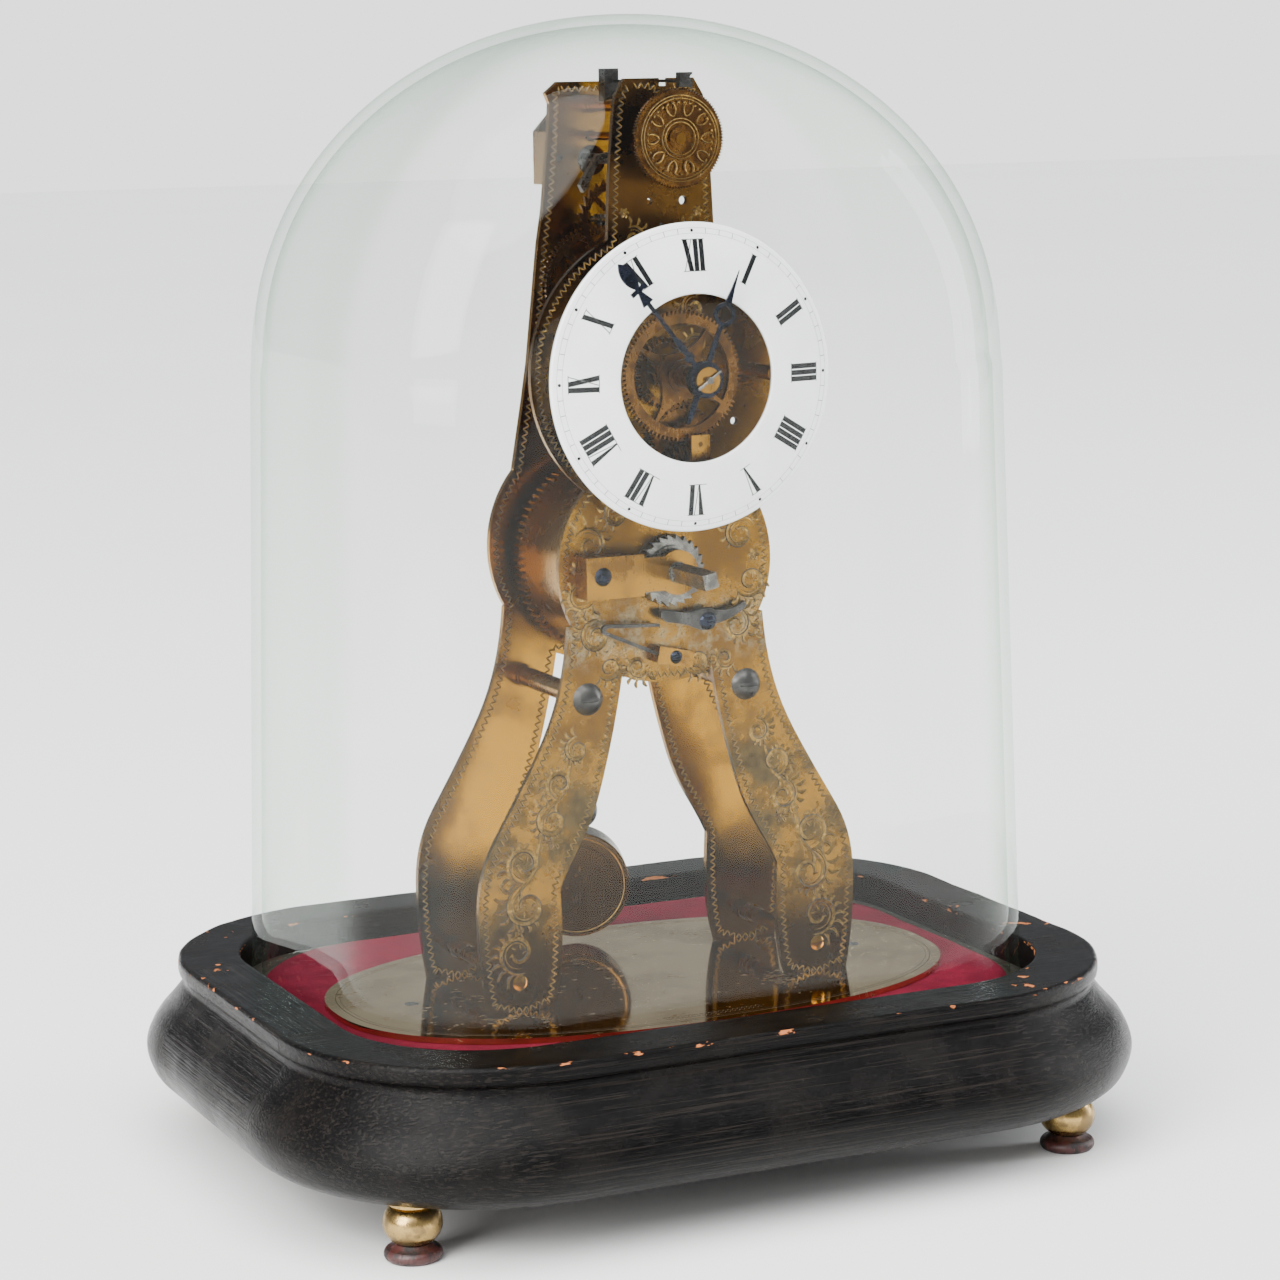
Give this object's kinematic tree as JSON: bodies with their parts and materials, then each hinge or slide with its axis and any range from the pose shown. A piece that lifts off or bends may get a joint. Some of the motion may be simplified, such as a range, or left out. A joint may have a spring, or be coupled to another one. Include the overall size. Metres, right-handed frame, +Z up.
{
  "type": "skeleton clock",
  "caption": "Small skeleton clock with engraved pierced plates, an enamel ring dial, a going train and a short pendulum, under a glass dome on a moulded wooden base.",
  "frame": {"origin": "on the surface that the feet stand on, under the middle of the base", "axes": "+X to the right and +Z up as seen from the front; the dial faces -Y"},
  "size_m": [0.1968, 0.16, 0.238],
  "materials": {
    "ebonised_wood": "satin black stain over open grain",
    "plain_wood": "bare",
    "velvet": "velvet pile",
    "foot_brass": "worn",
    "dark_wood": "worn lacquer",
    "glass": "clear blown glass",
    "tarnished_brass": "polished, spotted",
    "engraved_brass": "engraved, old lacquer",
    "polished_brass": "polished",
    "brass": "polished",
    "blued_steel": "polished and blued",
    "steel": "polished",
    "enamel": "fired white enamel, black print",
    "silk": "twisted thread"
  },
  "bodies": {
    "frame": {"wood_base": "ebonised_wood", "base_board": "plain_wood", "velvet_cover": "velvet", "hold_down_bolts": "steel", "feet": "foot_brass", "foot_pads": "dark_wood", "base_plate": "tarnished_brass", "front_plate": "engraved_brass", "back_plate": "polished_brass", "leg_pillars": "brass", "low_pillars": "brass", "top_pillar": "brass", "pillar_screws": "blued_steel", "click_screw": "blued_steel", "click_spring": "steel", "spring_block": "brass", "small_screws": "blued_steel", "barrel_bridge": "brass", "bridge_screw": "blued_steel", "back_cock": "brass", "back_cock_screws": "blued_steel", "detent_post": "steel", "detent_spring": "steel", "minute_cock": "brass", "dial": "enamel", "dial_backing": "brass", "dial_feet": "brass", "dial_foot_pins": "steel"},
    "dome": {"glass_dome": "glass"},
    "barrel": {"barrel_drum": "brass", "barrel_cover": "brass", "mainspring": "blued_steel"},
    "winding": {"barrel_arbor": "steel", "ratchet_wheel": "steel"},
    "click": {"click": "steel"},
    "intermediate": {"intermediate_arbor": "steel", "intermediate_wheel": "brass"},
    "centre": {"centre_arbor": "steel", "centre_wheel": "brass", "cannon_wheel": "brass", "minute_hand": "blued_steel", "hand_collet": "brass", "hand_pin": "steel"},
    "third": {"third_arbor": "steel", "third_wheel": "brass"},
    "escape": {"escape_arbor": "steel", "escape_wheel": "brass"},
    "minute": {"minute_wheel": "brass"},
    "hour": {"hour_wheel": "brass", "hour_hand": "blued_steel"},
    "anchor": {"anchor": "steel", "anchor_arbor": "steel", "crutch": "steel"},
    "regulator": {"regulator_wheel": "brass", "regulator_arbor": "brass"},
    "suspension": {"suspension_silk": "silk"},
    "pendulum": {"pendulum_hook": "brass", "pendulum_rod": "brass", "bob_knob": "blued_steel", "pendulum_bob": "brass"}
  },
  "joints": [
    {"name": "dome_lift", "type": "slide", "parent": "frame", "child": "dome", "axis": [0, 0, 1], "range_m": [0, 0.21]},
    {"name": "centre_spin", "type": "hinge", "parent": "frame", "child": "centre", "pos_m": [-0.002, 0, 0.1657], "axis": [0, 1, 0], "continuous": true},
    {"name": "intermediate_spin", "type": "hinge", "parent": "frame", "child": "intermediate", "pos_m": [-0.002, 0, 0.1489], "axis": [0, 1, 0], "continuous": true},
    {"name": "barrel_spin", "type": "hinge", "parent": "frame", "child": "barrel", "pos_m": [-0.002, 0, 0.1254], "axis": [0, 1, 0], "continuous": true},
    {"name": "third_spin", "type": "hinge", "parent": "frame", "child": "third", "pos_m": [-0.002, 0, 0.1813], "axis": [0, 1, 0], "continuous": true},
    {"name": "escape_spin", "type": "hinge", "parent": "frame", "child": "escape", "pos_m": [-0.002, 0, 0.1957], "axis": [0, 1, 0], "continuous": true},
    {"name": "minute_spin", "type": "hinge", "parent": "frame", "child": "minute", "pos_m": [0.00091, 0, 0.15201], "axis": [0, 1, 0], "continuous": true},
    {"name": "hour_spin", "type": "hinge", "parent": "frame", "child": "hour", "pos_m": [-0.002, 0, 0.1657], "axis": [0, 1, 0], "continuous": true},
    {"name": "winding_turn", "type": "hinge", "parent": "frame", "child": "winding", "pos_m": [-0.002, 0, 0.1254], "axis": [0, 1, 0], "range_deg": [0, 1620]},
    {"name": "click_pivot", "type": "hinge", "parent": "frame", "child": "click", "pos_m": [0.006, 0, 0.1144], "axis": [0, 1, 0], "range_deg": [-12, 0], "deforming": ["click_spring"]},
    {"name": "anchor_rock", "type": "hinge", "parent": "frame", "child": "anchor", "pos_m": [-0.002, 0, 0.2086], "axis": [0, 1, 0], "range_deg": [-3.7, 3.7]},
    {"name": "regulator_turn", "type": "hinge", "parent": "frame", "child": "regulator", "pos_m": [-0.002, 0, 0.213], "axis": [0, 1, 0], "range_deg": [-50, 50]},
    {"name": "pendulum_swing", "type": "hinge", "parent": "frame", "child": "suspension", "pos_m": [-0.002, 0, 0.213], "axis": [0, 1, 0], "range_deg": [-3, 3]},
    {"name": "pendulum_lift", "type": "slide", "parent": "suspension", "child": "pendulum", "axis": [0, 0, 1], "range_m": [-0.0008, 0.0008], "deforming": ["suspension_silk"]}
  ],
  "couplings": [
    {"joint": "intermediate_spin", "follows": "centre_spin", "ratio": -0.16667},
    {"joint": "barrel_spin", "follows": "centre_spin", "ratio": 0.019841},
    {"joint": "third_spin", "follows": "centre_spin", "ratio": -12},
    {"joint": "escape_spin", "follows": "centre_spin", "ratio": 148},
    {"joint": "minute_spin", "follows": "centre_spin", "ratio": -1},
    {"joint": "hour_spin", "follows": "centre_spin", "ratio": 0.083333},
    {"joint": "anchor_rock", "follows": "pendulum_swing", "ratio": 1.1947},
    {"joint": "regulator_turn", "follows": "pendulum_lift", "rad_per_m": 1090.8}
  ]
}
